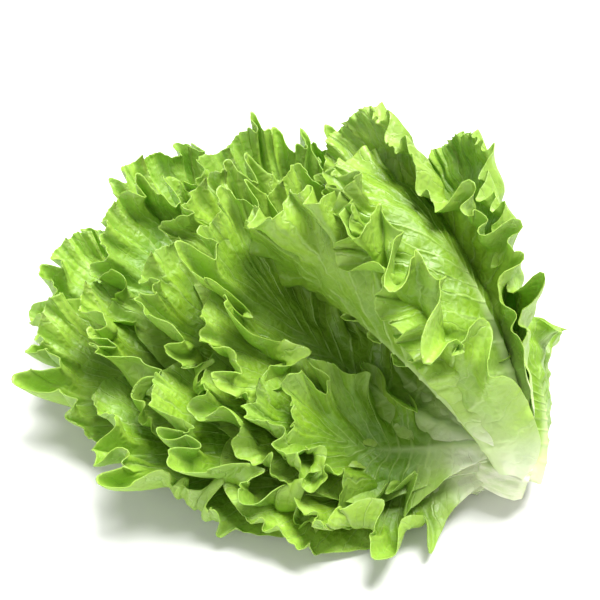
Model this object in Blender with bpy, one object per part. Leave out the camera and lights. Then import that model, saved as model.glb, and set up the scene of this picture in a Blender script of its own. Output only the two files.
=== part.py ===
"""A head of green curly lettuce lying on its side: a cut stem and the leaves that grow from it.

Metres, +Z up. The head's length runs along X, with the cut stem near the +X end, and it lies on Z = 0.
Most leaves lie on one another like shingles, inner side up, and fan out to -X. Five more stand up on the right.
"""

import math

import bmesh
import bpy
import numpy as np
from mathutils import Vector
from mathutils.bvhtree import BVHTree

MM = 0.001
GAP = 0.4
SOLVER = "MANIFOLD"

# The stem: a short stub, cut across at its lower end
STEM_CUT = (110, -111, 17)
STEM_TOP = (84, -101, 20)
STEM_PROFILE = (
    (0.0, 0.0),
    (0.03, 5.5),
    (0.14, 10.0),
    (0.35, 12.0),
    (0.65, 13.0),
    (0.88, 12.5),
    (1.0, 11.5),
    (1.0, 8.5),
    (0.985, 0.0),
)
STEM_SIDES = 24

# The fan of leaves. Each row is a leaf: its heading in degrees, length, half width and level in the stack
FAN_CENTRE = (91, -104)
FAN_START = 9
FAN = (
    (148, 250, 52, 0.0),
    (162, 226, 46, 0.6),
    (135, 246, 46, 0.7),
    (174, 184, 42, 1.3),
    (184, 120, 33, 1.9),
    (118, 184, 34, 2.2),
    (160, 202, 44, 2.4),
    (147, 214, 44, 3.2),
    (174, 154, 38, 3.4),
    (130, 196, 38, 3.9),
    (193, 88, 28, 3.3),
    (155, 174, 40, 4.8),
    (140, 178, 38, 5.5),
    (168, 130, 36, 5.2),
    (157, 138, 34, 6.6),
    (147, 154, 34, 7.3),
    (131, 146, 32, 6.9),
    (175, 88, 29, 7.4),
    (172, 104, 30, 6.9),
)

# The heights of the stack, by distance from the fan's centre
BASE_HEIGHT = ((0, 3), (30, 0.4), (170, 0.4), (220, 6), (270, 15))
LEVEL_STEP = ((0, 4.2), (60, 4.0), (110, 6.5), (170, 10.5), (260, 11.0))
LEVEL_SHARE_BY_HEADING = ((115, 1.0), (150, 1.0), (175, 0.8), (205, 0.65))
BACK_LIFT = ((112, 14), (134, 0))
TIP_RISE = 0.2
TILT = 0.14

# Leaves that stand clear of the fan: the midrib's four control points, the way its outer side faces, the half
# width, the radius that it is cupped to, and how far its edge curls, in radians towards the outer side
RAISED = {
    "ridge_leaf": (
        ((99, -112, 20), (88, -112, 58), (30, -66, 86), (-24, -16, 88)), (-0.68, -0.42, -0.14), 39, 48, (0.3, 1.1)
    ),
    "hood_leaf": (
        ((106, -108, 36), (100, -90, 82), (70, -36, 132), (22, 0, 120)), (0.6, -0.1, 0.8), 33, 44, (0.2, 1.0)
    ),
    "back_leaf": (
        ((104, -100, 34), (99, -80, 60), (85, -29, 86), (80, 38, 98)), (0.5, 0.69, -0.32), 30, 60, (-1.2, 0.4)
    ),
    "side_leaf": (
        ((112, -113, 18), (119, -102, 30), (117, -80, 50), (106, -56, 70)), (0.75, -0.55, 0.3), 32, 40, (0.3, 1.2)
    ),
    "top_leaf": (
        ((100, -98, 42), (92, -84, 66), (62, -19, 98), (25, 37, 112)), (0.2, 0.77, -0.25), 34, 60, (-1.2, 0.4)
    ),
}

# How a raised leaf closes round the stem at its base, and how its midrib runs on past its tip
BASE_CUP = 18
CUP_OPENS_BY = 0.6
EDGE_FALL = 0.1
RUN_ON = (15.0, 30.0, 45.0)
MIDRIB_STEPS = 121

# A leaf's outline and its thickness
STALK_HALF_WIDTH = 7
SHEATH_HALF_WIDTH = 21
WIDEST_SHARE = 0.85
VEIN_RISE = 0.38
VEIN_SPREAD = 1.3
BLADE_THICKNESS = 0.9
RIB_THICKNESS = 1.4

# The folds of an edge
BROAD_FOLDS = 4
RUFFLE_LENGTH = 27
BROAD_ANGLE = 0.5
RUFFLE_ANGLE = 1.55
WAVES_BEGIN = (0.15, 0.35)
CURL_ZONE = 34
CURL = (-1.35, -0.5)
BURIED_SHARE = 0.08
UNCOVER = 14
FULL_RUFFLE_VEIN = 45
SEED = 31

# How finely each leaf is cut into faces: rows from the midrib, 0, to the edge, 1, and each row's faces to a ruffle
ROWS = ((0.0, 1), (0.5, 1), (0.8, 2), (1.0, 4))

LEAF_GREEN = (0.20, 0.42, 0.06, 1.0)
STEM_GREEN = (0.62, 0.72, 0.42, 1.0)


def smooth(x):
    """0 up to x = 0, 1 from x = 1, and a gentle S between."""
    x = np.clip(x, 0.0, 1.0)
    return x * x * (3.0 - 2.0 * x)


def unit(v):
    """Vectors of the same direction and length 1."""
    return v / np.maximum(np.linalg.norm(v, axis=-1, keepdims=True), 1e-9)


def table(pairs, x):
    """Reads a value off a short table of points, with straight lines between them."""
    return np.interp(x, *zip(*pairs))


def wave_train(rng, count, angle):
    """A phase that runs round the leaf's edge, with waves of uneven length and depth."""
    steps = rng.uniform(0.65, 1.35, count + 1)
    at = np.linspace(0, 1, count + 2)
    share = np.concatenate([[0], np.cumsum(steps)]) / steps.sum()
    share = np.interp(share, [0, np.interp(0.5, at, share), 1], [0, 0.5, 1])
    return {
        "at": at,
        "phase": 2 * math.pi * count * share,
        "angle": angle * rng.uniform(0.7, 1.0, count + 2),
    }


class Leaf:
    """One leaf's size, and the folds and curls of its edge."""

    def __init__(self, name, number, length, half_width, curl):
        rng = np.random.default_rng(SEED + number)
        self.name = name
        self.length = length
        self.half_width = half_width
        ruffles = 2 * round((length + 0.6 * half_width) / RUFFLE_LENGTH)
        self.waves = (wave_train(rng, BROAD_FOLDS, BROAD_ANGLE), wave_train(rng, ruffles, RUFFLE_ANGLE))
        self.curl = rng.uniform(*curl, 8)
        self.tilt = rng.uniform(-TILT, TILT)


class FanLeaf(Leaf):
    """A leaf of the fan. It lies in the stack at its level, and ruffles only where no leaf above covers it."""

    stalk = STALK_HALF_WIDTH

    def __init__(self, name, number, heading, length, half_width, level):
        super().__init__(name, number, length, half_width, CURL)
        self.heading = math.radians(heading)
        self.level = level
        self.along = np.array([math.cos(self.heading), math.sin(self.heading)])
        self.across = np.array([-self.along[1], self.along[0]])

    def plan(self, x, y):
        """Plan position of the flat leaf's point x, y."""
        return np.array(FAN_CENTRE) + (FAN_START + y)[..., None] * self.along + x[..., None] * self.across

    def inside(self, place):
        """How far a plan position is inside this leaf's outline, less than 0 outside it."""
        away = place - np.array(FAN_CENTRE)
        y = away @ self.along - FAN_START
        x = away @ self.across
        m = np.linspace(0, 1, 60)
        edge_x, edge_y = outline(self, m)
        return np.minimum(np.interp(y, edge_y, edge_x) - np.abs(x), self.length - y)

    def exposure(self, place):
        """1 where nothing lies on the leaf, and 0 where a leaf above covers it."""
        share = np.ones(place.shape[:-1])
        for other in self.above:
            share = np.minimum(share, smooth((-2 - other.inside(place)) / UNCOVER))
        return share

    def embed(self, x, y, lift):
        place = self.plan(x, y)
        away = place - np.array(FAN_CENTRE)
        far = np.hypot(away[..., 0], away[..., 1])
        heading = np.degrees(np.arctan2(away[..., 1], away[..., 0])) % 360
        step = table(LEVEL_STEP, far)
        share = 1 + (table(LEVEL_SHARE_BY_HEADING, heading) - 1) * smooth(far / 60)
        base = table(BASE_HEIGHT, far) + table(BACK_LIFT, heading) * smooth(far / 200)
        rise = TIP_RISE * self.length * smooth((y / self.length - 0.5) / 0.8) * min(1, 0.25 + self.level / 2)
        slant = self.tilt * x * smooth(far / 120) * min(1, self.level)
        height = base + self.level * step * share + rise + slant + lift
        return np.concatenate([place, height[..., None]], axis=-1)


class RaisedLeaf(Leaf):
    """A leaf whose midrib is a curve through space, cupped towards its inner side."""

    stalk = SHEATH_HALF_WIDTH
    level = 1

    def __init__(self, name, number, midrib, outward, half_width, cup, curl):
        u = np.linspace(0, 1, MIDRIB_STEPS)[:, None]
        p = np.array(midrib, float)
        curve = (1 - u) ** 3 * p[0] + 3 * (1 - u) ** 2 * u * p[1] + 3 * (1 - u) * u**2 * p[2] + u**3 * p[3]
        steps = np.linalg.norm(np.diff(curve, axis=0), axis=1)
        super().__init__(name, number, steps.sum(), half_width, curl)
        run_on = np.array(RUN_ON)
        self.curve = np.concatenate([curve, curve[-1] + unit(p[3] - p[2]) * run_on[:, None]])
        self.reach = np.concatenate([[0], np.cumsum(steps), steps.sum() + run_on])
        self.ahead = unit(np.gradient(self.curve, self.reach, axis=0))
        out = np.array(outward)
        self.out = unit(out - self.ahead * (self.ahead @ out)[:, None])
        self.side = np.cross(self.ahead, self.out)
        self.cup = cup

    def plan(self, x, y):
        return None

    def exposure(self, place):
        return 1.0

    def embed(self, x, y, lift):
        centre, out, side = (
            np.stack([np.interp(y, self.reach, values[:, k]) for k in range(3)], axis=-1)
            for values in (self.curve, self.out, self.side)
        )
        radius = BASE_CUP + (self.cup - BASE_CUP) * smooth(y / (CUP_OPENS_BY * self.length))
        turn = x / radius
        normal = out * np.cos(turn)[..., None] + side * np.sin(turn)[..., None]
        deep = radius * (1 - np.cos(turn)) + EDGE_FALL * np.abs(x)
        return centre + side * (radius * np.sin(turn))[..., None] - out * deep[..., None] + normal * lift[..., None]


def outline(leaf, m):
    """Half width and distance along the leaf, for m from 0 at its base to 1 at its tip."""
    bulge = np.clip(np.sin(math.pi * m**WIDEST_SHARE), 0, 1) ** (1.5 - 0.7 * m)
    return leaf.stalk * (1 - m) + leaf.half_width * bulge, leaf.length * np.sin(math.pi * m / 2)


def flat(leaf, s, t):
    """The leaf laid flat.

    s runs round the edge, from one side of the base by the tip to the other, and t from the midrib to the edge.
    """
    m = 1 - np.abs(2 * s - 1)
    half, edge_y = outline(leaf, m)
    rib_y = edge_y * (1 - VEIN_RISE * np.sin(math.pi * m / VEIN_SPREAD))
    return t * np.sign(s - 0.5) * half, rib_y + t * (edge_y - rib_y)


def middle(leaf, s, t):
    """Points of the leaf's middle surface, in millimetres."""
    eps = 1e-4
    x, y = flat(leaf, s, t)
    before, after = np.clip(s - eps, 0, 1), np.clip(s + eps, 0, 1)
    round_edge = np.stack(flat(leaf, after, t)) - np.stack(flat(leaf, before, t))
    round_edge /= after - before
    pace = np.maximum(np.hypot(*round_edge), 1e-6)
    round_edge /= pace
    vein = np.stack(flat(leaf, s, 0 * t + 1)) - np.stack(flat(leaf, s, 0 * t))
    vein_length = np.maximum(np.hypot(*vein), 1e-6)
    vein /= vein_length
    buried = BURIED_SHARE * min(1, leaf.level)
    share = buried + (1 - buried) * leaf.exposure(leaf.plan(x, y))
    share = share * smooth((s - 0.04) / 0.14) * smooth((0.96 - s) / 0.14) * smooth(vein_length / FULL_RUFFLE_VEIN)

    zone = np.minimum(np.minimum(vein_length / 2, CURL_ZONE), 0.75 * leaf.half_width)
    out = zone * np.clip((t * vein_length - vein_length + zone) / zone, 0, 1)
    curl = np.interp(s, np.linspace(0, 1, 8), leaf.curl) * share * out / zone
    bend = np.where(np.abs(curl) < 1e-5, curl / 2, (1 - np.cos(curl)) / np.where(np.abs(curl) < 1e-5, 1, curl))
    pull = out * (1 - np.sinc(curl / math.pi))
    lift = out * bend

    ruffle = np.zeros_like(x)
    slide = np.zeros_like(x)
    for wave, begins in zip(leaf.waves, WAVES_BEGIN):
        phase = np.interp(s, wave["at"], wave["phase"])
        rate = np.interp(s, (wave["at"][1:] + wave["at"][:-1]) / 2, np.diff(wave["phase"]) / np.diff(wave["at"]))
        angle = np.interp(s, wave["at"], wave["angle"]) * smooth((t - begins) / (1 - begins)) * share
        ruffle -= pace / rate * angle * (1 + 0.22 * angle**2) * np.cos(phase)
        slide += pace / rate * angle**2 / 8 * (1 + 0.3 * angle**2) * np.sin(2 * phase)
    x = x + round_edge[0] * slide - vein[0] * (pull + ruffle * np.sin(curl))
    y = y + round_edge[1] * slide - vein[1] * (pull + ruffle * np.sin(curl))
    return leaf.embed(x, y, leaf.inward * (lift + ruffle * np.cos(curl)))


def strip(low, high):
    """Triangles between two rows of point numbers that run the same way."""
    faces = []
    i = j = 0
    while i < len(low) - 1 or j < len(high) - 1:
        high_is_behind = (2 * j + 1) * (len(low) - 1) <= (2 * i + 1) * (len(high) - 1)
        if i == len(low) - 1 or (j < len(high) - 1 and high_is_behind):
            faces.append((low[i], high[j + 1], high[j]))
            j += 1
        else:
            faces.append((low[i], low[i + 1], high[j]))
            i += 1
    return [face for face in faces if len(set(face)) == 3]


def leaf_faces(leaf):
    """s, t and the triangles of one side of a leaf. Columns follow the ruffles: crest, middle, trough, middle."""
    ruffles = leaf.waves[-1]
    s, t, rows = [], [], []
    for share, per_ruffle in ROWS:
        count = per_ruffle * round(ruffles["phase"][-1] / (2 * math.pi))
        along = np.interp(np.linspace(0, ruffles["phase"][-1], count + 1), ruffles["phase"], ruffles["at"])
        numbers = list(range(len(s), len(s) + count + 1))
        if share == 0:
            numbers = [len(s) + min(k, count - k) for k in range(count + 1)]
            along = ((along + 1 - along[::-1]) / 2)[: count // 2 + 1]
        s.extend(along)
        t.extend([share] * len(along))
        rows.append(numbers)
    faces = [face for low, high in zip(rows, rows[1:]) for face in strip(low, high)]
    return np.array(s), np.array(t), faces


def add_mesh(name, points, faces, material):
    mesh = bpy.data.meshes.new(name)
    mesh.from_pydata((points * MM).tolist(), [], [tuple(int(k) for k in face) for face in faces])
    mesh.materials.append(material)
    mesh.update()
    obj = bpy.data.objects.new(name, mesh)
    bpy.context.scene.collection.objects.link(obj)
    return obj


def leaf_solid(leaf, material, extra=0.0):
    """The leaf as a thin closed solid: its middle surface moved out to both sides, and the gap closed at the rim.

    With extra it is that much larger on every side, which makes the cutter that keeps other leaves clear of it.
    """
    s, t, faces = leaf_faces(leaf)
    points = middle(leaf, s, t)
    m = 1 - np.abs(2 * s - 1)
    half = BLADE_THICKNESS / 2 + (RIB_THICKNESS - BLADE_THICKNESS) / 2 * (1 - t) ** 4 * (1 - m) ** 1.5
    points[:, 2] = np.maximum(points[:, 2], half)
    half = half + extra
    corners = points[np.array(faces)]
    face_normals = np.cross(corners[:, 1] - corners[:, 0], corners[:, 2] - corners[:, 0])
    normals = np.zeros_like(points)
    for k in range(3):
        np.add.at(normals, np.array(faces)[:, k], face_normals)
    offset = unit(normals) * half[:, None]
    count = len(points)
    spread = np.zeros_like(points)
    edges = {(a, b) for face in faces for a, b in zip(face, face[1:] + face[:1])}
    rim = [(a, b) for a, b in sorted(edges) if (b, a) not in edges]
    for a, b in rim if extra else ():
        outward = np.cross(points[b] - points[a], offset[a])
        outward *= extra / max(np.linalg.norm(outward), 1e-9)
        spread[a] += outward / 2
        spread[b] += outward / 2
    points = points + spread
    lower = points - offset
    lower[:, 2] = np.maximum(lower[:, 2], -extra)
    skin = list(faces)
    skin += [(a + count, c + count, b + count) for a, b, c in faces]
    skin += [tri for a, b in rim for tri in ((b, a, a + count), (b, a + count, b + count))]
    name = leaf.name if not extra else leaf.name + "_cutter"
    return add_mesh(name, np.concatenate([points + offset, lower]), skin, material)


def stem_solid(material, extra=0.0):
    """A stub of stem: a profile turned round the line from its top, inside the head, to its cut end."""
    top, cut = np.array(STEM_TOP, float), np.array(STEM_CUT, float)
    axis = unit(cut - top)
    side = unit(np.cross(axis, [0, 0, 1]))
    up = np.cross(side, axis)
    turns = np.linspace(0, 2 * math.pi, STEM_SIDES, endpoint=False)
    ring = np.outer(np.cos(turns), side) + np.outer(np.sin(turns), up)
    points = [top - axis * extra]
    for share, radius in STEM_PROFILE[1:-1]:
        along = axis * (extra if share == 1 else 0)
        points.extend(top + (cut - top) * share + along + ring * (radius + extra))
    points.append(top + (cut - top) * STEM_PROFILE[-1][0] + axis * extra)
    rings = len(STEM_PROFILE) - 2
    last = rings * STEM_SIDES + 1
    faces = []
    for k in range(STEM_SIDES):
        after = (k + 1) % STEM_SIDES
        faces.append((0, 1 + k, 1 + after))
        for ring_number in range(rings - 1):
            low = 1 + ring_number * STEM_SIDES
            high = low + STEM_SIDES
            faces.append((low + k, high + after, low + after))
            faces.append((low + k, high + k, high + after))
        faces.append((last - STEM_SIDES + k, last, last - STEM_SIDES + after))
    return add_mesh("stem" if not extra else "stem_cutter", np.array(points), faces, material)


def apply_modifiers(obj):
    """Replace the object's mesh with what its modifiers make of it."""
    evaluated = obj.evaluated_get(bpy.context.evaluated_depsgraph_get())
    mesh = bpy.data.meshes.new_from_object(evaluated)
    obj.modifiers.clear()
    obj.data = mesh


def keep_largest(obj):
    """Drop every loose scrap of the object except its largest body."""
    body = bmesh.new()
    body.from_mesh(obj.data)
    left = set(body.faces)
    groups = []
    while left:
        queue = [left.pop()]
        group = []
        while queue:
            face = queue.pop()
            group.append(face)
            for edge in face.edges:
                for other in edge.link_faces:
                    if other in left:
                        left.remove(other)
                        queue.append(other)
        groups.append(group)
    groups.sort(key=lambda group: sum(face.calc_area() for face in group))
    for group in groups[:-1]:
        bmesh.ops.delete(body, geom=group, context="FACES")
    loose = [v for v in body.verts if not v.link_faces]
    bmesh.ops.delete(body, geom=loose, context="VERTS")
    bmesh.ops.triangulate(body, faces=body.faces)
    body.to_mesh(obj.data)
    body.free()


def crosses(first, second):
    """True where the surfaces of two objects touch or cross."""
    trees = [
        BVHTree.FromPolygons([v.co for v in obj.data.vertices], [p.vertices for p in obj.data.polygons])
        for obj in (first, second)
    ]
    return bool(trees[0].overlap(trees[1]))


def swollen(obj):
    """A copy of the object that is larger by half the gap on every side."""
    mesh = obj.data.copy()
    for vertex in mesh.vertices:
        vertex.co += vertex.normal * GAP * MM / 2
    copy = bpy.data.objects.new(obj.name + "_swollen", mesh)
    bpy.context.scene.collection.objects.link(copy)
    return copy


def trim(obj, cutters):
    """Cut away what would cross the leaves that are already in place, leaving a small gap to each."""
    cutters = [cutter for cutter in cutters if crosses(obj, cutter)]
    if not cutters:
        return
    group = bpy.data.collections.new("cutters")
    bpy.context.scene.collection.children.link(group)
    for cutter in cutters:
        group.objects.link(cutter)
    cut = obj.modifiers.new("cut", "BOOLEAN")
    cut.operation = "DIFFERENCE"
    cut.operand_type = "COLLECTION"
    cut.collection = group
    cut.solver = SOLVER
    apply_modifiers(obj)
    keep_largest(obj)
    bpy.data.collections.remove(group)


def all_leaves():
    fan = [FanLeaf(f"leaf_{k + 1:02d}", k, *row) for k, row in enumerate(FAN)]
    for leaf in fan:
        leaf.above = [other for other in fan if other.level > leaf.level]
        leaf.inward = -1
    raised = [RaisedLeaf(name, 100 + k, *row) for k, (name, row) in enumerate(RAISED.items())]
    for leaf in raised:
        leaf.inward = 1
    return fan + raised


def centre_on_floor(objects):
    """Move everything so that its box is centred on the origin in plan and stands on Z = 0."""
    corners = np.concatenate([[v.co for v in obj.data.vertices] for obj in objects])
    low, high = corners.min(axis=0), corners.max(axis=0)
    shift = np.array([-(low[0] + high[0]) / 2, -(low[1] + high[1]) / 2, -low[2]])
    for obj in objects:
        for vertex in obj.data.vertices:
            vertex.co += Vector(shift)


def finish(name, colour):
    """A plain satin material of one colour."""
    material = bpy.data.materials.new(name)
    material.use_nodes = True
    material.node_tree.nodes["Principled BSDF"].inputs["Base Color"].default_value = colour
    return material


def main():
    for obj in list(bpy.data.objects):
        bpy.data.objects.remove(obj)
    leaf_green = finish("leaf_green", LEAF_GREEN)
    stem_green = finish("stem_green", STEM_GREEN)
    leaves = all_leaves()
    order = leaves[-1:-6:-1][::-1] + leaves[:-5][::-1]
    stem_solid(stem_green)
    placed = [stem_solid(stem_green, GAP)]
    for leaf in order:
        obj = leaf_solid(leaf, leaf_green)
        trim(obj, placed)
        placed.append(leaf_solid(leaf, leaf_green, GAP))
    for cutter in placed:
        bpy.data.objects.remove(cutter)
    solids = [obj for obj in bpy.context.scene.collection.objects if obj.type == "MESH"]
    for k, obj in list(enumerate(solids)) * 2:
        touching = [swollen(other) for other in solids[:k] if crosses(obj, other)]
        trim(obj, touching)
        for other in touching:
            bpy.data.objects.remove(other)
    centre_on_floor(solids)


if __name__ == "__main__":
    main()
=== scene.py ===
# %% [markdown]
# # A head of curly lettuce, lying on its side
#
# This lesson dresses a plain CAD model of a lettuce in its real looks. The CAD model is loaded first and
# stays as it is. Every piece that is made below stands in the place of one CAD node, in the same metres.

# %% Load the frame
import math

import bpy
import numpy as np
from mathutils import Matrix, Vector


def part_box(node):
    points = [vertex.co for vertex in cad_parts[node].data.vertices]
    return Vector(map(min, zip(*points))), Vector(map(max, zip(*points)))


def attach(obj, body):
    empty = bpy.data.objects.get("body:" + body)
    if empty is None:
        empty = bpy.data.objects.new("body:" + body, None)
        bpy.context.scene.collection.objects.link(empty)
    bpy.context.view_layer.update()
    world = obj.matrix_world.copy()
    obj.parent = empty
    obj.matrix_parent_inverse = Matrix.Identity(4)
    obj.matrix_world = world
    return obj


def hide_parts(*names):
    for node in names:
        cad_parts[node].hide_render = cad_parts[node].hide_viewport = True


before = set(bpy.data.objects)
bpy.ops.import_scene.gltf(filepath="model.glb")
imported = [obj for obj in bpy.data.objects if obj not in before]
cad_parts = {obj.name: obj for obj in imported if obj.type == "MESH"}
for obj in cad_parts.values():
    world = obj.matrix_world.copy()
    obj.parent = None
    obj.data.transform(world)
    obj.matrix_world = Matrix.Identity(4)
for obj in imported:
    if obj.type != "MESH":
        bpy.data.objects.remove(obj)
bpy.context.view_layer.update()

# %% [markdown]
# ## The plan of the head
#
# A real lettuce grows its leaves round a short stem. Laid on its side, most of them lie on one another like
# shingles and fan out from the stem. We could place each leaf by hand, but a small table is easier to read:
# each row is a leaf's heading round the stem, its length, its half width and its level in the stack. Five
# more leaves stand up at the back and on the right, and those follow a midrib curve of their own.

# %% The stem and the leaf tables, in millimetres
MM = 0.001
STEM_CUT = (110, -111, 17)
STEM_TOP = (84, -101, 20)
STEM_PROFILE = ((0.0, 0.0), (0.03, 5.5), (0.14, 10.0), (0.35, 12.0), (0.65, 13.0), (0.88, 12.5), (1.0, 11.5))
FAN_CENTRE = (91, -104)
FAN_START = 9
FAN = (
    (148, 250, 52, 0.0),
    (162, 226, 46, 0.6),
    (135, 246, 46, 0.7),
    (174, 184, 42, 1.3),
    (184, 120, 33, 1.9),
    (118, 184, 34, 2.2),
    (160, 202, 44, 2.4),
    (147, 214, 44, 3.2),
    (174, 154, 38, 3.4),
    (130, 196, 38, 3.9),
    (193, 88, 28, 3.3),
    (155, 174, 40, 4.8),
    (140, 178, 38, 5.5),
    (168, 130, 36, 5.2),
    (157, 138, 34, 6.6),
    (147, 154, 34, 7.3),
    (131, 146, 32, 6.9),
    (175, 88, 29, 7.4),
    (172, 104, 30, 6.9),
)
BASE_HEIGHT = ((0, 3), (30, 0.4), (170, 0.4), (220, 6), (270, 15))
LEVEL_STEP = ((0, 4.2), (60, 4.0), (110, 6.5), (170, 10.5), (260, 11.0))
LEVEL_SHARE_BY_HEADING = ((115, 1.0), (150, 1.0), (175, 0.8), (205, 0.65))
BACK_LIFT = ((112, 14), (134, 0))
TIP_RISE = 0.2
TILT = 0.14
RAISED = {
    "ridge_leaf": (
        ((99, -112, 20), (88, -112, 58), (30, -66, 86), (-24, -16, 88)), (-0.68, -0.42, -0.14), 39, 48, (0.3, 1.1)
    ),
    "hood_leaf": (
        ((106, -108, 36), (100, -90, 82), (70, -36, 132), (22, 0, 120)), (0.6, -0.1, 0.8), 33, 44, (0.2, 1.0)
    ),
    "back_leaf": (
        ((104, -100, 34), (99, -80, 60), (85, -29, 86), (80, 38, 98)), (0.5, 0.69, -0.32), 30, 60, (-1.2, 0.4)
    ),
    "side_leaf": (
        ((112, -113, 18), (119, -102, 30), (117, -80, 50), (106, -56, 70)), (0.75, -0.55, 0.3), 32, 40, (0.3, 1.2)
    ),
    "top_leaf": (
        ((100, -98, 42), (92, -84, 66), (62, -19, 98), (25, 37, 112)), (0.2, 0.77, -0.25), 34, 60, (-1.2, 0.4)
    ),
}
print(len(FAN), "leaves in the fan and", len(RAISED), "that stand up")

# %% [markdown]
# ## The edge of a curly leaf
#
# A lettuce leaf is curly because its edge has grown longer than its middle, so the spare length has to
# fold. The folds come in sizes: a few broad ones, then ruffles on them, then frills on those. A sine wave
# alone is too shallow for this. The path of a river is closer: its direction swings as a sine, so deep
# bends lean over and form loops. Each size of fold is one such train of waves round the edge, of uneven
# length and depth.

# %% Fold sizes and small helpers
BROAD_FOLDS, BROAD_ANGLE = 4, 0.5
RUFFLE_LENGTH, RUFFLE_ANGLE = 27, 2.0
FRILL_LENGTH, FRILL_ANGLE = 12.0, 1.8
CRIMP_LENGTH, CRIMP_ANGLE = 6.4, 1.5
# short leaves fold closer together, down to this share of the length, up to a leaf 220 mm long
YOUNG_FOLD_SHARE, FULL_GROWN = 0.6, 220
CURL_ZONE = 34
BLISTER_WAVES = 7
CURL = (-1.6, -0.6)
BURIED_SHARE = 0.08
# large and small folds reach full depth this far from a leaf that covers them, in mm
UNCOVER, UNCOVER_FINE = 14, 6
FULL_RUFFLE_VEIN = 28
SEED = 31


def smooth(x):
    """0 up to x = 0, 1 from x = 1, and a gentle S between."""
    x = np.clip(x, 0.0, 1.0)
    return x * x * (3.0 - 2.0 * x)


def unit(v):
    return v / np.maximum(np.linalg.norm(v, axis=-1, keepdims=True), 1e-9)


def table(pairs, x):
    """Reads a value off a short table of points, with straight lines between them."""
    return np.interp(x, *zip(*pairs))


def wave_train(rng, count, angle):
    """A phase that runs round the edge: count waves of uneven length, each swinging by its own angle."""
    steps = rng.uniform(0.65, 1.35, count + 1)
    at = np.linspace(0, 1, count + 2)
    share = np.concatenate([[0], np.cumsum(steps)]) / steps.sum()
    share = np.interp(share, [0, np.interp(0.5, at, share), 1], [0, 0.5, 1])
    return {"at": at, "phase": 2 * math.pi * count * share, "angle": angle * rng.uniform(0.7, 1.0, count + 2)}


def new_leaf(name, number, length, half_width, curl):
    """One leaf's facts. Its folds come from its own seed, so the same leaf comes out every time."""
    rng = np.random.default_rng(SEED + number)
    ruffles = 2 * round((length + 0.6 * half_width) / RUFFLE_LENGTH)
    leaf = {"name": name, "length": length, "half_width": half_width, "ruffles": ruffles}
    leaf["waves"] = [wave_train(rng, BROAD_FOLDS, BROAD_ANGLE), wave_train(rng, ruffles, RUFFLE_ANGLE)]
    leaf["curl"] = rng.uniform(*curl, 8)
    leaf["tilt"] = rng.uniform(-TILT, TILT)
    crowding = YOUNG_FOLD_SHARE + (1 - YOUNG_FOLD_SHARE) * min(1, length / FULL_GROWN)
    for fold_length, angle in ((FRILL_LENGTH, FRILL_ANGLE), (CRIMP_LENGTH, CRIMP_ANGLE)):
        count = round(2 * (length + 0.6 * half_width) / (fold_length * crowding))
        leaf["waves"].append(wave_train(rng, count, angle))
    leaf["calm"] = rng.uniform(0.5, 1.2, 16)
    leaf["blisters"] = rng.uniform(0, 1, (BLISTER_WAVES, 3))
    leaf["tone"] = rng.uniform(0, 1)
    leaf["roll"] = rng.uniform(0.5, 1.4, 18)
    return leaf


print("one wave train has the keys", sorted(wave_train(np.random.default_rng(1), 4, 1.0)))

# %% [markdown]
# ## The leaf laid flat
#
# Before it is folded, a leaf is a flat spatula. Two numbers name every point of it: s runs round the edge,
# from one side of the base by the tip to the other, and t runs from the midrib, 0, out to the edge, 1.
# Lines of constant s are then the side veins, which lean towards the tip as they do on the real leaf.

# %% Outline and veins
STALK_HALF_WIDTH = 7
SHEATH_HALF_WIDTH = 21
ATTACHED = 8
WIDEST_SHARE = 0.85
VEIN_RISE = 0.38
VEIN_SPREAD = 1.3


def outline(leaf, m):
    """Half width and distance along the leaf, for m from 0 at its base to 1 at its tip."""
    bulge = np.clip(np.sin(math.pi * m**WIDEST_SHARE), 0, 1) ** (1.5 - 0.7 * m)
    stalk = STALK_HALF_WIDTH if "level" in leaf else SHEATH_HALF_WIDTH * (0.4 + 0.6 * smooth(m / 0.07))
    reach = leaf["length"] * np.sin(math.pi * m / 2) - (ATTACHED if "level" in leaf else 0) * (1 - m) ** 8
    return stalk * (1 - m) + leaf["half_width"] * bulge, reach


def flat(leaf, s, t):
    """Across and along the flat leaf: a straight line from the midrib to the edge, for each s."""
    m = 1 - np.abs(2 * s - 1)
    half, edge_y = outline(leaf, m)
    rib_y = edge_y * (1 - VEIN_RISE * np.sin(math.pi * m / VEIN_SPREAD))
    return t * np.sign(s - 0.5) * half, rib_y + t * (edge_y - rib_y)


# %% [markdown]
# ## Where a leaf lies
#
# A leaf of the fan lies at its level: its height is a base height, plus its level times the step between
# levels, plus a rise towards its tip. It ruffles only where no leaf above covers it, because a covered leaf
# is pressed flat, and small folds start nearer to the cover than large ones. A raised leaf is wrapped round
# its midrib, a cubic curve, as if it lay on a pipe whose radius is its cup. The finer folds aren't trimmed
# against the neighbouring leaves, so some of them pass through each other, which the CAD model's leaves
# don't.


# %% The leaves of the fan
def fan_leaf(number, heading, length, half_width, level):
    leaf = new_leaf(f"leaf_{number + 1:02d}", number, length, half_width, CURL)
    turn = math.radians(heading)
    leaf["level"] = level
    leaf["along"] = np.array([math.cos(turn), math.sin(turn)])
    leaf["across"] = np.array([-math.sin(turn), math.cos(turn)])
    leaf["inward"] = -1
    return leaf


def plan(leaf, x, y):
    """Where a flat point lies, seen from above."""
    return np.array(FAN_CENTRE) + (FAN_START + y)[..., None] * leaf["along"] + x[..., None] * leaf["across"]


def inside(leaf, place):
    """How far a place is inside the leaf's outline, less than 0 outside it."""
    away = place - np.array(FAN_CENTRE)
    y = away @ leaf["along"] - FAN_START
    x = away @ leaf["across"]
    edge_x, edge_y = outline(leaf, np.linspace(0, 1, 60))
    return np.minimum(np.interp(y, edge_y, edge_x) - np.abs(x), leaf["length"] - y)


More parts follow.
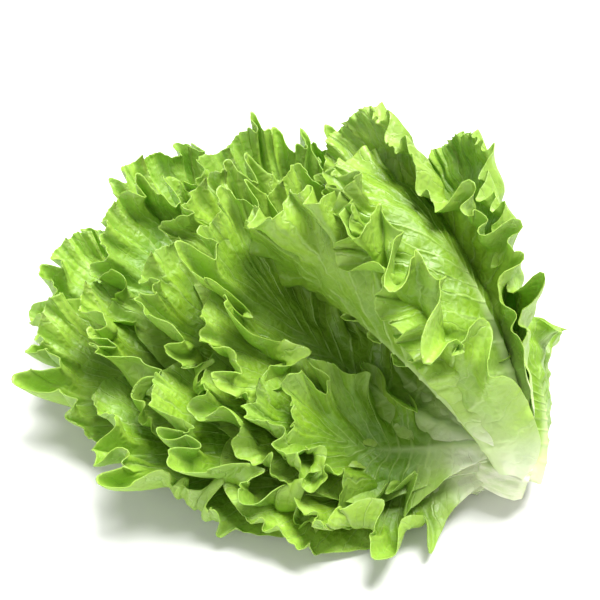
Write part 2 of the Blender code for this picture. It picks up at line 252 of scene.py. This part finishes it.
def bare_width(leaf, x, y):
    """How far a point is from the nearest leaf that lies on it, and less than 0 where one covers it."""
    away = np.full(x.shape, 99.0)
    if "level" in leaf:
        place = plan(leaf, x, y)
        for other in leaf["above"]:
            away = np.minimum(away, -inside(other, place))
    return away


def lay_in_fan(leaf, x, y, lift):
    """Plan position and height of a point of the fan, in millimetres."""
    place = plan(leaf, x, y)
    away = place - np.array(FAN_CENTRE)
    far = np.hypot(away[..., 0], away[..., 1])
    heading = np.degrees(np.arctan2(away[..., 1], away[..., 0])) % 360
    share = 1 + (table(LEVEL_SHARE_BY_HEADING, heading) - 1) * smooth(far / 60)
    base = table(BASE_HEIGHT, far) + table(BACK_LIFT, heading) * smooth(far / 200)
    rise = TIP_RISE * leaf["length"] * smooth((y / leaf["length"] - 0.5) / 0.8)
    rise = rise * min(1, 0.25 + leaf["level"] / 2)
    slant = leaf["tilt"] * x * smooth(far / 120) * min(1, leaf["level"])
    height = base + leaf["level"] * table(LEVEL_STEP, far) * share + rise + slant + lift
    return np.concatenate([place, height[..., None]], axis=-1)


# %% [markdown]
# ## The leaves that stand up
#
# Five leaves leave the stack. Each follows a cubic curve, which four points give: the first and the last are its
# ends, and the two between pull it into its bend. A second direction says which way the leaf's back faces.

# %% The raised leaves
RUN_ON = (15.0, 30.0, 45.0)
BASE_CUP = 18
CUP_OPENS_BY = 0.6
MOST_TURN = 2.6
EDGE_FALL = 0.1


def raised_leaf(number, name, midrib, outward, half_width, cup, curl):
    """The midrib is a cubic curve. Three directions stand along it: ahead, out of the leaf's back, sideways."""
    u = np.linspace(0, 1, 121)[:, None]
    p = np.array(midrib, float)
    curve = (1 - u) ** 3 * p[0] + 3 * (1 - u) ** 2 * u * p[1] + 3 * (1 - u) * u**2 * p[2] + u**3 * p[3]
    steps = np.linalg.norm(np.diff(curve, axis=0), axis=1)
    leaf = new_leaf(name, number, steps.sum(), half_width, curl)
    beyond = np.array(RUN_ON)
    leaf["curve"] = np.concatenate([curve, curve[-1] + unit(p[3] - p[2]) * beyond[:, None]])
    leaf["reach"] = np.concatenate([[0], np.cumsum(steps), steps.sum() + beyond])
    ahead = unit(np.gradient(leaf["curve"], leaf["reach"], axis=0))
    out = np.array(outward)
    leaf["out"] = unit(out - ahead * (ahead @ out)[:, None])
    leaf["side"] = np.cross(ahead, leaf["out"])
    leaf["cup"] = cup
    leaf["inward"] = 1
    return leaf


def lay_on_midrib(leaf, x, y, lift):
    """Wraps the flat leaf round its midrib: x becomes an angle on a pipe, and lift moves off the pipe."""
    centre, out, side = (
        np.stack([np.interp(y, leaf["reach"], values[:, k]) for k in range(3)], axis=-1)
        for values in (leaf["curve"], leaf["out"], leaf["side"])
    )
    radius = BASE_CUP + (leaf["cup"] - BASE_CUP) * smooth(y / (CUP_OPENS_BY * leaf["length"]))
    turn = np.clip(x / radius, -MOST_TURN, MOST_TURN)
    normal = out * np.cos(turn)[..., None] + side * np.sin(turn)[..., None]
    deep = radius * (1 - np.cos(turn)) + EDGE_FALL * np.abs(x)
    across = side * (radius * np.sin(turn))[..., None]
    return centre + across - out * deep[..., None] + normal * lift[..., None]


fan = [fan_leaf(k, *row) for k, row in enumerate(FAN)]
for leaf in fan:
    leaf["above"] = [other for other in fan if other["level"] > leaf["level"]]
raised = [raised_leaf(100 + k, name, *row) for k, (name, row) in enumerate(RAISED.items())]
print("leaf lengths in mm:", [round(leaf["length"]) for leaf in fan + raised])

# %% [markdown]
# ## Folding the edge
#
# Four things are added to the flat leaf near its edge. It curls over, more in some places than in others.
# Each wave train lifts it to one side and the other, and also slides it along the edge, which is what makes
# deep folds lean. Its folds sway sideways together, so they don't all point the same way. Last, the blade
# itself swells a little between its veins, as a quilt does, and its rim has fine uneven teeth.

# %% The folded leaf surface
QUILT = 0.55
TOOTH = 1.3
VEINS_A_SIDE = 11
WAVE_BEGINS = (0.15, 0.4, 0.45, 0.68)
# how a fold deepens towards the rim: the power of the distance from where it begins
FLARE = 1.2
# on a short leaf the folds start closer to the midrib, down to this share
CRUMPLED_SHARE = 0.45
# ruffles are shallower on these leaves
TAUT = {"hood_leaf": 0.85, "back_leaf": 0.45, "top_leaf": 0.6}
TIP_CALM, TIP_SHARE, TIP_FINE_SHARE = 0.07, 0.35, 0.4
FAN_EDGE_BEGINS = (0.03, 0.1)
RAISED_EDGE_BEGINS = {"side_leaf": (0.1, 0.18), "hood_leaf": (0.05, 0.1)}
BLISTER_SIZE = (9.0, 21.0)
BLISTER_HEIGHT = 3.0
SWAY_SIZE = (30.0, 60.0)
SWAY = 10.0


def swellings(leaf, x, y, sizes):
    """Soft swellings: plane waves in random directions and of random length, added up and averaged."""
    total = np.zeros_like(x)
    for turn, size, phase in leaf["blisters"]:
        reach = 2 * math.pi / (sizes[0] + (sizes[1] - sizes[0]) * size)
        ahead = x * math.cos(2 * math.pi * turn) + y * math.sin(2 * math.pi * turn)
        total += np.sin(reach * ahead + 2 * math.pi * phase)
    return total / BLISTER_WAVES


def vein_count(s):
    """Counts the side veins: a whole number on each vein."""
    return s * 2 * VEINS_A_SIDE


def folded(leaf, s, t):
    """Points of the leaf's middle surface, in millimetres, for arrays s and t of one shape."""
    eps = 1e-4
    x, y = flat(leaf, s, t)
    before, after = np.clip(s - eps, 0, 1), np.clip(s + eps, 0, 1)
    round_edge = (np.stack(flat(leaf, after, t)) - np.stack(flat(leaf, before, t))) / (after - before)
    pace = np.maximum(np.hypot(*round_edge), 1e-6)
    round_edge /= pace
    vein = np.stack(flat(leaf, s, 0 * t + 1)) - np.stack(flat(leaf, s, 0 * t))
    vein_length = np.maximum(np.hypot(*vein), 1e-6)
    vein /= vein_length
    buried = BURIED_SHARE * min(1, leaf.get("level", 1))
    bare = bare_width(leaf, x, y)
    near_base, fade = RAISED_EDGE_BEGINS.get(leaf["name"], FAN_EDGE_BEGINS)
    room = smooth((np.minimum(s, 1 - s) - near_base) / fade) * smooth(vein_length / FULL_RUFFLE_VEIN)
    share = room * (buried + (1 - buried) * smooth((bare - 2) / UNCOVER))
    fine_share = room * (buried + (1 - buried) * smooth(bare / UNCOVER_FINE))

    zone = np.minimum(np.minimum(vein_length / 2, CURL_ZONE), 0.75 * leaf["half_width"])
    out = zone * np.clip((t * vein_length - vein_length + zone) / zone, 0, 1)
    off_tip = smooth(np.abs(s - 0.5) / TIP_CALM)
    share = share * (TIP_SHARE + (1 - TIP_SHARE) * off_tip)
    fine_share = fine_share * (TIP_FINE_SHARE + (1 - TIP_FINE_SHARE) * off_tip)
    curl = np.interp(s, np.linspace(0, 1, 8), leaf["curl"]) * share * out / zone
    roll = np.interp(s, np.linspace(0, 1, 18), leaf["roll"])
    curl = curl * (roll if "level" in leaf else 0.5 + 0.5 * roll)
    nearly_flat = np.abs(curl) < 1e-5
    bend = np.where(nearly_flat, curl / 2, (1 - np.cos(curl)) / np.where(nearly_flat, 1, curl))
    pull = out * (1 - np.sinc(curl / math.pi))
    lift = out * bend

    ruffle = np.zeros_like(x)
    slide = np.zeros_like(x)
    calm = np.interp(s, np.linspace(0, 1, 16), leaf["calm"])
    crumpled = max(CRUMPLED_SHARE, min(1, leaf["length"] / FULL_GROWN)) if "level" in leaf else 1
    for size, (wave, begins) in enumerate(zip(leaf["waves"], np.array(WAVE_BEGINS) * crumpled)):
        phase = np.interp(s, wave["at"], wave["phase"])
        between = (wave["at"][1:] + wave["at"][:-1]) / 2
        rate = np.interp(s, between, np.diff(wave["phase"]) / np.diff(wave["at"]))
        flare = np.clip((t - begins) / (1 - begins), 0, 1) ** FLARE
        angle = np.interp(s, wave["at"], wave["angle"]) * flare
        if size > 1:
            angle = angle * fine_share * calm
        else:
            angle = angle * share * TAUT.get(leaf["name"], 1.0)
        ruffle -= pace / rate * angle * (1 + 0.22 * angle**2) * np.cos(phase)
        slide += pace / rate * angle**2 / 8 * (1 + 0.3 * angle**2) * np.sin(2 * phase)

    count = vein_count(s)
    quilt = QUILT * np.sin(math.pi * count) ** 2 * np.sin(t * vein_length / 2.6 + 2.4 * np.floor(count))
    quilt = quilt + BLISTER_HEIGHT * swellings(leaf, x, y, BLISTER_SIZE)
    quilt = quilt * smooth(t / 0.2) * (0.45 + 0.55 * share)
    teeth = TOOTH * np.abs(np.sin(s * leaf["length"] * 1.7) * np.cos(s * leaf["length"] * 0.61))
    teeth = teeth * smooth((t - 0.9) / 0.1)
    pull = pull - teeth * fine_share
    sway = SWAY * share * smooth((t - 0.2) / 0.6) * (1 if "level" in leaf else 0.6)
    x, y = (
        x + sway * swellings(leaf, x, y, SWAY_SIZE),
        y + sway * swellings(leaf, y + 90, x, SWAY_SIZE),
    )
    x = x + round_edge[0] * slide - vein[0] * (pull + ruffle * np.sin(curl))
    y = y + round_edge[1] * slide - vein[1] * (pull + ruffle * np.sin(curl))
    lift = leaf["inward"] * (lift + ruffle * np.cos(curl)) + quilt
    return lay_in_fan(leaf, x, y, lift) if "level" in leaf else lay_on_midrib(leaf, x, y, lift)


middle = folded(fan[0], *np.meshgrid(np.linspace(0, 1, 50), np.linspace(0, 1, 9), indexing="ij"))
print("the lowest leaf spans, in mm:", np.ptp(middle.reshape(-1, 3), axis=0).round())

# %% [markdown]
# ## From a surface to a leaf with two faces
#
# A leaf is thin but not flat on both sides: its midrib is a stout, pale ridge on the outer side, and its
# side veins are fine ridges there too. So the surface gets its thickness from two offsets along its
# normals. The outer one carries the ridges in full, and the inner one much less of them. The two skins
# share a rim, so the leaf is a closed solid. At the midrib the two halves of the leaf meet, so there both
# sides use the same points.

# %% Thickness, ridges and grid size
COLUMN_STEP = 0.78
ROWS = 20
ROW_CROWDING = 1.6
BLADE_HALF = 0.38
RIB_HEIGHT = 3.4
FAN_RIB_SHARE = 0.6
RIB_HALF_WIDTH = 4.6
VEIN_HEIGHT = 0.6
INNER_SHARE = 0.45


def ridges(leaf, s, t, x):
    """Heights of midrib and side veins above the blade: bell curves that fade towards tip and edge."""
    m = 1 - np.abs(2 * s - 1)
    along = flat(leaf, s, 0 * t)[1] / leaf["length"]
    width = RIB_HALF_WIDTH * (1 - 0.75 * along) * leaf["half_width"] / 44
    height = RIB_HEIGHT * (FAN_RIB_SHARE if "level" in leaf else 1)
    rib = height * (1 - smooth(along * 1.15)) * np.exp(-((x / width) ** 2))
    near = np.abs(vein_count(s) - np.round(vein_count(s)))
    side = VEIN_HEIGHT * (1 - smooth(t * 1.05)) * np.exp(-((near / (0.07 + 0.05 * t)) ** 2))
    side = side * smooth(m / 0.1)
    return rib, side


def vertex_normals(points, quads):
    """Each point's unit normal: the sum of the normals of the quads round it, large quads counting more."""
    a, b, c, d = (points[quads[:, k]] for k in range(4))
    face = np.cross(c - a, d - b)
    total = np.zeros_like(points)
    for k in range(4):
        np.add.at(total, quads[:, k], face)
    return unit(total)


def corners(grid):
    """A grid's values at the four corners of each of its cells."""
    return np.stack([grid[:-1, :-1], grid[1:, :-1], grid[1:, 1:], grid[:-1, 1:]], axis=-1).reshape(-1, 4)


def leaf_piece(leaf, material):
    """Two skins of quads over one (s, t) grid, and a rim of quads round its border."""
    columns = 2 * round((leaf["length"] + 0.6 * leaf["half_width"]) / COLUMN_STEP)
    rows = 1 - (1 - np.linspace(0, 1, ROWS)) ** ROW_CROWDING
    s, t = np.meshgrid(np.linspace(0, 1, columns + 1), rows, indexing="ij")
    points = folded(leaf, s, t).reshape(-1, 3)
    x, y = flat(leaf, s, t)
    index = np.arange(s.size).reshape(s.shape)
    index[columns // 2 + 1 :, 0] = index[: columns // 2, 0][::-1]
    quads, corner_s, corner_t = (corners(values) for values in (index, s, t))
    normals = vertex_normals(points, quads)
    rib, side = (values.ravel() for values in ridges(leaf, s, t, x))
    half = (BLADE_HALF * (1 - 0.5 * smooth((t - 0.8) / 0.2))).ravel()
    front = 1.0 if leaf["inward"] > 0 else INNER_SHARE
    back = INNER_SHARE if leaf["inward"] > 0 else 1.0
    up = points + normals * (half + front * (rib + side))[:, None]
    down = points - normals * (half + back * (rib + side))[:, None]
    skin = np.concatenate([up, down])
    border = np.concatenate([index[0, :], index[:, -1], index[-1, ::-1]])
    border = border[np.concatenate([[True], np.diff(border) != 0])]
    rim_a, rim_b = border[:-1], border[1:]
    shifted = s.size
    rim = np.stack([rim_a, rim_b, rim_b + shifted, rim_a + shifted], axis=-1)
    faces = np.concatenate([quads, quads[:, ::-1] + shifted, rim])
    rim_ends = np.stack([rim_a, rim_b, rim_b, rim_a], axis=-1)
    uv_s = np.concatenate([corner_s, corner_s[:, ::-1], s.ravel()[rim_ends]])
    uv_t = np.concatenate([corner_t, corner_t[:, ::-1], t.ravel()[rim_ends]])
    values = {
        "rib": np.tile(np.clip(rib / RIB_HEIGHT, 0, 1), 2),
        "along": np.tile((y / leaf["length"]).ravel(), 2),
        "edge": np.tile(t.ravel(), 2),
        "tone": np.full(2 * s.size, leaf["tone"]),
    }
    uv = np.stack([vein_count(uv_s), uv_t], axis=-1).reshape(-1, 2)
    return make_piece(leaf["name"], skin, faces, values, uv, material)


# %% [markdown]
# ## Putting arrays into a mesh
#
# Blender takes whole arrays at once. Points that no face uses are dropped first, so the mesh has no strays.
# The shift from the plan's origin to the frame's comes from the stem, which is the one part that both know.

# %% The stem's surface, and where the plan lies in the frame
STEM_SIDES = 96


def stem_points(sides, profile):
    """The profile turned round the line from the stem's top to its cut end: rings of points, and angles."""
    top, cut = np.array(STEM_TOP, float), np.array(STEM_CUT, float)
    axis = unit(cut - top)
    side = unit(np.cross(axis, [0, 0, 1]))
    up = np.cross(side, axis)
    turns = np.linspace(0, 2 * math.pi, sides, endpoint=False)
    share, radius = np.array(profile).T
    ring = np.cos(turns)[:, None] * side + np.sin(turns)[:, None] * up
    return top + (cut - top) * share[:, None, None] + ring[None] * radius[:, None, None], turns


def plan_shift():
    """The CAD stem has 24 sides, so the same stem is worked out here and the two box centres are compared."""
    mine = stem_points(24, STEM_PROFILE)[0].reshape(-1, 3) * MM
    low, high = (np.array(corner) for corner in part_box("stem"))
    shift = (low + high) / 2 - (mine.min(axis=0) + mine.max(axis=0)) / 2
    return shift


SHIFT = plan_shift()
FLOOR_CLEARANCE = 0.00005
print("plan to frame, in mm:", (SHIFT * 1000).round(3))


def make_piece(name, points, faces, values, uv, material):
    """A mesh object at the origin, from points in plan millimetres, quads, point values and corner (u, v)."""
    used, faces = np.unique(faces, return_inverse=True)
    faces = faces.reshape(-1, 4)
    place = points[used] * MM + SHIFT
    place[:, 2] = np.maximum(place[:, 2], FLOOR_CLEARANCE)
    name = name + "_curled" if "leaf" in name else name + "_cut"
    mesh = bpy.data.meshes.new(name)
    mesh.from_pydata(place, [], faces)
    for key, numbers in values.items():
        attribute_data = mesh.attributes.new(key, "FLOAT", "POINT").data
        attribute_data.foreach_set("value", numbers[used].astype(np.float32))
    mesh.uv_layers.new(name="veins").data.foreach_set("uv", uv.astype(np.float32).ravel())
    mesh.shade_smooth()
    mesh.materials.append(material)
    mesh.validate()
    obj = bpy.data.objects.new(name, mesh)
    bpy.context.scene.collection.objects.link(obj)
    return obj


# %% [markdown]
# ## The leaf's finish
#
# Lettuce is a clear yellow green, with painted shade that darkens the blade towards its midrib, and paler along
# its ribs and veins and at its base. Towards its edge it is paler again, partly its own colour and partly a
# painted highlight where the folds catch the light. It is satin: the blade has a thin wax, and its surface is
# blistered between a net of veins. Each of these is one small group of nodes, and all of them follow the leaf,
# not the room. The net has three sizes: side veins counted by u, two finer sizes that start further out, and
# cells between them.

# %% Small node helpers
def node(tree, kind, **inputs):
    """Adds a node. A value named Fac sets that input, and a socket given as the value is linked."""
    new = tree.nodes.new(kind)
    for key, value in inputs.items():
        if key.startswith("_"):
            setattr(new, key[1:], value)
            continue
        by_number = key[0] == "i" and key[1:].isdigit()
        socket = new.inputs[int(key[1:]) if by_number else key.replace("_", " ")]
        if isinstance(value, bpy.types.NodeSocket):
            tree.links.new(value, socket)
        else:
            socket.default_value = value
    return new


def calc(tree, operation, *values):
    """One sum on one or more numbers or sockets."""
    numbered = {f"i{k}": value for k, value in enumerate(values)}
    return node(tree, "ShaderNodeMath", _operation=operation, **numbered).outputs[0]


def ramp(tree, value, low, high, to_low=0.0, to_high=1.0):
    """A smooth step from to_low, where value is low, to to_high, where it is high."""
    step = node(tree, "ShaderNodeMapRange", _interpolation_type="SMOOTHSTEP", Value=value)
    for key, number in (("From Min", low), ("From Max", high), ("To Min", to_low), ("To Max", to_high)):
        step.inputs[key].default_value = number
    return step.outputs["Result"]


def blend_colour(tree, amount, one, two):
    """Mixes two colours by an amount from 0 to 1."""
    mix = tree.nodes.new("ShaderNodeMix")
    mix.data_type = "RGBA"
    for socket, value in ((mix.inputs[0], amount), (mix.inputs[6], one), (mix.inputs[7], two)):
        if isinstance(value, bpy.types.NodeSocket):
            tree.links.new(value, socket)
        else:
            socket.default_value = value
    return mix.outputs[2]


def attribute(tree, name):
    return node(tree, "ShaderNodeAttribute", _attribute_name=name).outputs["Fac"]


def noise(tree, place, scale, detail=3.0, roughness=0.55):
    made = node(tree, "ShaderNodeTexNoise", Vector=place, Scale=scale, Detail=detail, Roughness=roughness)
    return made.outputs["Fac"]


def srgb(red, green, blue):
    """A colour as a picture program gives it, 0 to 255, turned into the linear numbers that Blender mixes."""
    share = np.array([red, green, blue]) / 255
    linear = np.where(share <= 0.04045, share / 12.92, ((share + 0.055) / 1.055) ** 2.4)
    return (*linear.tolist(), 1.0)


# %% [markdown]
# ## Veins and colour
#
# Veins run where the leaf's own coordinates say, so they bend with every fold. Blade, rim, base and ribs each get
# their colour from one value that the mesh carries, and noise keeps any of them from being one flat colour.

# %% The net of veins
def vein_lines(tree, u, v, times, width, start):
    """Lines at whole numbers of u * times: the distance to the nearest one, widened towards the midrib."""
    wave = calc(tree, "PINGPONG", calc(tree, "MULTIPLY", u, times), 0.5)
    reach = calc(tree, "MULTIPLY", wave, calc(tree, "ADD", v, 0.15))
    line = ramp(tree, reach, 0.0, width * times, 1.0, 0.0)
    return calc(tree, "MULTIPLY", line, ramp(tree, v, start, start + 0.25))


def leaf_material():
    material = bpy.data.materials.new("curly_leaf")
    material.use_nodes = True
    tree = material.node_tree
    shader = tree.nodes["Principled BSDF"]
    place = node(tree, "ShaderNodeTexCoord").outputs["Object"]
    uv = node(tree, "ShaderNodeSeparateXYZ", Vector=node(tree, "ShaderNodeUVMap", _uv_map="veins").outputs[0])
    wander = calc(tree, "MULTIPLY", calc(tree, "SUBTRACT", noise(tree, place, 90.0, 3.0), 0.5), 0.55)
    u = calc(tree, "ADD", uv.outputs["X"], wander)
    v = uv.outputs["Y"]
    first = vein_lines(tree, u, v, 1.0, 0.045, -0.1)
    second = vein_lines(tree, u, v, 2.0, 0.022, 0.25)
    third = vein_lines(tree, u, v, 4.0, 0.012, 0.5)
    cells = node(tree, "ShaderNodeTexVoronoi", _feature="DISTANCE_TO_EDGE", Vector=place, Scale=210.0)
    cells = cells.outputs["Distance"]
    net = ramp(tree, cells, 0.0, 0.09, 1.0, 0.0)
    veins = calc(tree, "MAXIMUM", first, calc(tree, "MULTIPLY", second, 0.7))
    veins = calc(tree, "MAXIMUM", veins, calc(tree, "MULTIPLY", third, 0.5))
    fine = calc(tree, "MAXIMUM", calc(tree, "MULTIPLY", veins, 0.55), calc(tree, "MULTIPLY", net, 0.16))

    rib, along, edge, tone = (attribute(tree, key) for key in ("rib", "along", "edge", "tone"))
    patches = ramp(tree, noise(tree, place, 34.0, 4.0), 0.35, 0.65)
    green = blend_colour(tree, patches, srgb(106, 150, 6), srgb(138, 180, 28))
    # painted shade: the green darkens towards the midrib, away from the edge, where the blade lies deeper in the
    # head
    deep = ramp(tree, calc(tree, "ADD", edge, calc(tree, "MULTIPLY", patches, 0.15)), 0.35, 1.0, 0.55, 0.0)
    green = blend_colour(tree, deep, green, srgb(74, 122, 4))
    green = blend_colour(tree, calc(tree, "MULTIPLY", tone, 0.45), green, srgb(150, 184, 50))
    grain = ramp(tree, noise(tree, place, 420.0, 3.0), 0.3, 0.7)
    green = blend_colour(tree, calc(tree, "MULTIPLY", grain, 0.18), green, srgb(76, 118, 10))
    # paler towards the edge: partly the margin's own colour, partly a painted highlight where the folds catch the
    # light
    rim = ramp(tree, edge, 0.6, 1.0)
    green = blend_colour(tree, calc(tree, "MULTIPLY", rim, 0.3), green, srgb(174, 204, 100))
    green = blend_colour(tree, fine, green, srgb(164, 194, 104))
    pale = calc(tree, "MULTIPLY", ramp(tree, along, 0.0, 0.36, 1.0, 0.0), 0.8)
    pale = calc(tree, "MULTIPLY", pale, ramp(tree, edge, 0.35, 1.0, 1.0, 0.15))
    green = blend_colour(tree, pale, green, srgb(214, 234, 160))
    butt = ramp(tree, along, 0.02, 0.17, 0.8, 0.0)
    green = blend_colour(tree, butt, green, srgb(236, 242, 212))
    white = ramp(tree, rib, 0.08, 0.6)
    green = blend_colour(tree, calc(tree, "MULTIPLY", white, 0.7), green, srgb(206, 226, 160))
    tree.links.new(green, shader.inputs["Base Color"])

    swell = ramp(tree, cells, 0.0, 0.45)
    waves = calc(tree, "MULTIPLY", noise(tree, place, 150.0, 3.0), 0.7)
    height = calc(tree, "ADD", calc(tree, "MULTIPLY", swell, 0.45), waves)
    height = calc(tree, "SUBTRACT", height, calc(tree, "MULTIPLY", veins, 0.5))
    height = calc(tree, "MULTIPLY", height, calc(tree, "SUBTRACT", 1.0, calc(tree, "MULTIPLY", white, 0.85)))
    bump = node(tree, "ShaderNodeBump", Height=height, Strength=0.55, Distance=0.0011)
    tree.links.new(bump.outputs[0], shader.inputs["Normal"])
    sheen = ramp(tree, noise(tree, place, 60.0, 3.0), 0.3, 0.7, 0.42, 0.58)
    tree.links.new(sheen, shader.inputs["Roughness"])
    shader.inputs["Subsurface Weight"].default_value = 0.13
    shader.inputs["Subsurface Radius"].default_value = (0.5, 1.0, 0.15)
    shader.inputs["Subsurface Scale"].default_value = 0.0028
    shader.inputs["Specular IOR Level"].default_value = 0.65
    return material


curly_leaf = leaf_material()
print("the leaf's finish has", len(curly_leaf.node_tree.nodes), "nodes")

# %% [markdown]
# ## Making the leaves
#
# Each piece rides on the head's one body and stands in for the CAD node of the same leaf.

# %% Every leaf in its place
for leaf in fan + raised:
    piece = leaf_piece(leaf, curly_leaf)
    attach(piece, "root")
    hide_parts(leaf["name"])
    print(leaf["name"], len(piece.data.polygons) * 2, "triangles")

# %% [markdown]
# ## The cut stem
#
# The stem is a stub, pale green to white, with shallow flutes along it. Its cut face is wet and slightly
# sunken, a little browned by the air, with a darker ring under the skin. It is one surface: the profile
# turned round its own line, with flutes as a wave in its radius.


# %% The stem piece
def stem_material():
    material = bpy.data.materials.new("cut_stem")
    material.use_nodes = True
    tree = material.node_tree
    shader = tree.nodes["Principled BSDF"]
    place = node(tree, "ShaderNodeTexCoord").outputs["Object"]
    radial, face = attribute(tree, "radial"), attribute(tree, "cut")
    streaks = node(tree, "ShaderNodeMapping", Vector=place, Scale=(1.0, 6.0, 6.0)).outputs[0]
    mottle = ramp(tree, noise(tree, streaks, 60.0, 4.0), 0.3, 0.7)
    skin = blend_colour(tree, mottle, srgb(206, 222, 168), srgb(232, 236, 206))
    wet = ramp(tree, noise(tree, place, 260.0, 5.0), 0.3, 0.75)
    flesh = blend_colour(tree, wet, srgb(226, 214, 172), srgb(204, 176, 126))
    ring = calc(tree, "MULTIPLY", ramp(tree, radial, 0.6, 0.78), ramp(tree, radial, 0.82, 0.95, 1.0, 0.0))
    flesh = blend_colour(tree, calc(tree, "MULTIPLY", ring, 0.6), flesh, srgb(176, 132, 84))
    tree.links.new(blend_colour(tree, face, skin, flesh), shader.inputs["Base Color"])
    bump = node(tree, "ShaderNodeBump", Height=noise(tree, streaks, 240.0, 4.0), Strength=0.4, Distance=0.0008)
    tree.links.new(bump.outputs[0], shader.inputs["Normal"])
    tree.links.new(ramp(tree, face, 0.0, 1.0, 0.5, 0.32), shader.inputs["Roughness"])
    shader.inputs["Subsurface Weight"].default_value = 0.2
    shader.inputs["Subsurface Radius"].default_value = (1.0, 0.9, 0.5)
    shader.inputs["Subsurface Scale"].default_value = 0.003
    return material


# near its cut end the skin draws in by this many millimetres, and the cut face's rings run to its centre
SHOULDER_DROP = 1.2
CUT_FACE_RADII = [10.6, 10.0, 9.4, 8.6, 6.5, 3.5, 0.0]


def stem_piece(material):
    """Profile rings, finer than the CAD stem's, and each ring's radius is waved by flutes of uneven depth."""
    share, radius = np.array(STEM_PROFILE).T
    along = np.concatenate([np.linspace(0, 0.985, 40), [0.995, 1.0, 1.0, 0.998, 0.992, 0.99, 0.99]])
    shoulder = SHOULDER_DROP * smooth((along[:40] - 0.85) / 0.15)
    size = np.concatenate([np.interp(along[:40], share, radius) - shoulder, CUT_FACE_RADII])
    size[0] = 0.0
    points, turns = stem_points(STEM_SIDES, np.stack([along, size], axis=-1))
    flutes = 0.5 * np.sin(9 * turns + 0.6) + 0.35 * np.sin(14 * turns + 2.1) + 0.3 * np.sin(5 * turns)
    centre = points.mean(axis=1, keepdims=True)
    depth = (size / 13) * (np.arange(len(along)) < 42)
    points = points + unit(points - centre) * (flutes[None, :, None] - 0.9) * depth[:, None, None]
    rings = len(along)
    index = np.arange(points.shape[0] * STEM_SIDES).reshape(rings, STEM_SIDES)
    index[0, :] = index[0, 0]
    index[-1, :] = index[-1, 0]
    after = np.roll(index, -1, axis=1)
    quads = np.stack([index[:-1], after[:-1], after[1:], index[1:]], axis=-1).reshape(-1, 4)
    cut = np.repeat(np.clip((np.arange(rings) - 40) / 2.0, 0, 1), STEM_SIDES)
    values = {"cut": cut, "radial": np.repeat(size / 13, STEM_SIDES)}
    ring_share = np.stack([np.repeat(along, STEM_SIDES), np.tile(turns / (2 * math.pi), rings)], axis=-1)
    return make_piece("stem", points.reshape(-1, 3), quads, values, ring_share[quads.ravel()], material)


stem = stem_piece(stem_material())
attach(stem, "root")
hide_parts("stem")
print("stem", len(stem.data.polygons), "faces")

# %% [markdown]
# ## Floor, light and camera
#
# The head lies on a plain pale floor. A wide far light, high and behind it to the right, gives the folds
# their bright and dark sides, a weaker one in front keeps them open, and a white room fills the rest. The
# lights are far ones, so the floor is as bright at its horizon as near the head. The camera looks down at
# 48 degrees.

# %% Floor
floor_material = bpy.data.materials.new("pale_floor")
floor_material.use_nodes = True
floor_tree = floor_material.node_tree
floor_place = node(floor_tree, "ShaderNodeTexCoord").outputs["Object"]
speckle = ramp(floor_tree, noise(floor_tree, floor_place, 6.0), 0.3, 0.7)
floor_colour = blend_colour(floor_tree, speckle, srgb(244, 244, 242), srgb(248, 248, 247))
floor_tree.links.new(floor_colour, floor_tree.nodes["Principled BSDF"].inputs["Base Color"])
floor_tree.nodes["Principled BSDF"].inputs["Roughness"].default_value = 0.9
floor_mesh = bpy.data.meshes.new("floor")
FLOOR_REACH = 6.0
floor_corners = [(x * FLOOR_REACH, y * FLOOR_REACH, 0) for x, y in ((-1, -1), (1, -1), (1, 1), (-1, 1))]
floor_mesh.from_pydata(floor_corners, [], [(0, 1, 2, 3)])
floor_mesh.materials.append(floor_material)
floor = bpy.data.objects.new("floor", floor_mesh)
bpy.context.scene.collection.objects.link(floor)

# %% Light
LOOK_AT = Vector((0.0, -0.02484, 0.05)) + Vector(SHIFT)


def soft_light(name, place, degrees, strength):
    """A far, wide light that shines from the side of a place towards the head."""
    lamp = bpy.data.lights.new(name, "SUN")
    lamp.angle = math.radians(degrees)
    lamp.energy = strength
    obj = bpy.data.objects.new(name, lamp)
    obj.location = place
    obj.rotation_euler = (LOOK_AT - Vector(place)).to_track_quat("-Z", "Y").to_euler()
    bpy.context.scene.collection.objects.link(obj)


soft_light("key", (0.25, 0.3, 1.05), 34, 6.5)
soft_light("front", (-0.6, -0.9, 0.9), 40, 0.65)
world = bpy.data.worlds.new("white_room")
world.use_nodes = True
world.node_tree.nodes["Background"].inputs["Color"].default_value = (1.0, 1.0, 1.0, 1.0)
world.node_tree.nodes["Background"].inputs["Strength"].default_value = 0.33
bpy.context.scene.world = world
bpy.context.scene.view_settings.view_transform = "Standard"

# %% Camera
ELEVATION = math.radians(48)
DISTANCE = 0.8333
lens = bpy.data.cameras.new("camera")
lens.lens = 100
lens.sensor_width = 36
camera = bpy.data.objects.new("camera", lens)
camera.location = LOOK_AT + DISTANCE * Vector((0.0, -math.cos(ELEVATION), math.sin(ELEVATION)))
camera.rotation_euler = (math.radians(90) - ELEVATION, 0.0, 0.0)
bpy.context.scene.collection.objects.link(camera)
bpy.context.scene.camera = camera
print("camera at", [round(v, 3) for v in camera.location])
